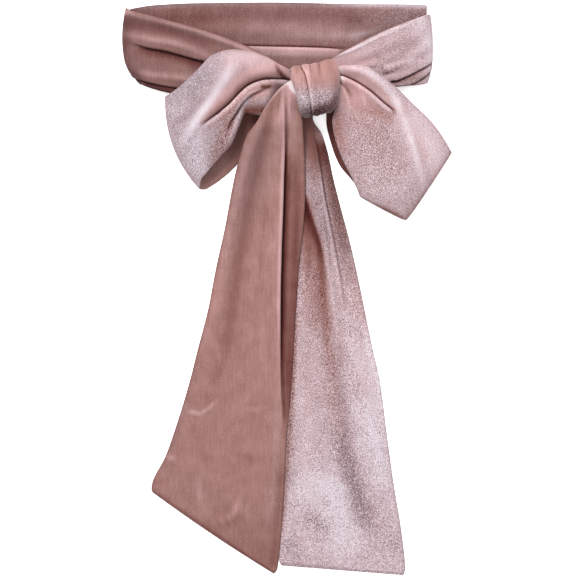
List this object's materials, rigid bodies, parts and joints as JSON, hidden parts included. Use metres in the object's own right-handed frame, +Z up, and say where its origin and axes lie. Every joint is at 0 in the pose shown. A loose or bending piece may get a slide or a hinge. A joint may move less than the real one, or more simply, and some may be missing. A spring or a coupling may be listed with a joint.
{
  "type": "waist sash",
  "caption": "Wide soft velvet waist sash tied in a bow and laid flat: waistband, wrapped knot, two bow loops and two long tails, one cut on a slant.",
  "frame": {"origin": "centre of the part's outline, on the surface the sash lies on", "axes": "+Z up from the surface, +Y towards the waistband, tails towards -Y, +X to the right seen from above"},
  "size_m": [0.3957, 0.6861, 0.0467],
  "materials": {
    "velvet_dusky": "stretch velvet, nap brushed smooth, dusky rose, soft sheen",
    "velvet_pale": "stretch velvet, nap raised against the light, pale pink with a fine sparkle",
    "velvet_knot": "stretch velvet, salmon above and silvery below where the nap turns"
  },
  "bodies": {
    "root": {"waistband_back": "velvet_dusky", "waistband_front_left": "velvet_dusky", "waistband_front_right": "velvet_pale", "knot": "velvet_knot", "bow_loop_left": "velvet_pale", "bow_loop_right": "velvet_pale", "tail_left": "velvet_dusky", "tail_right": "velvet_pale"}
  },
  "joints": []
}
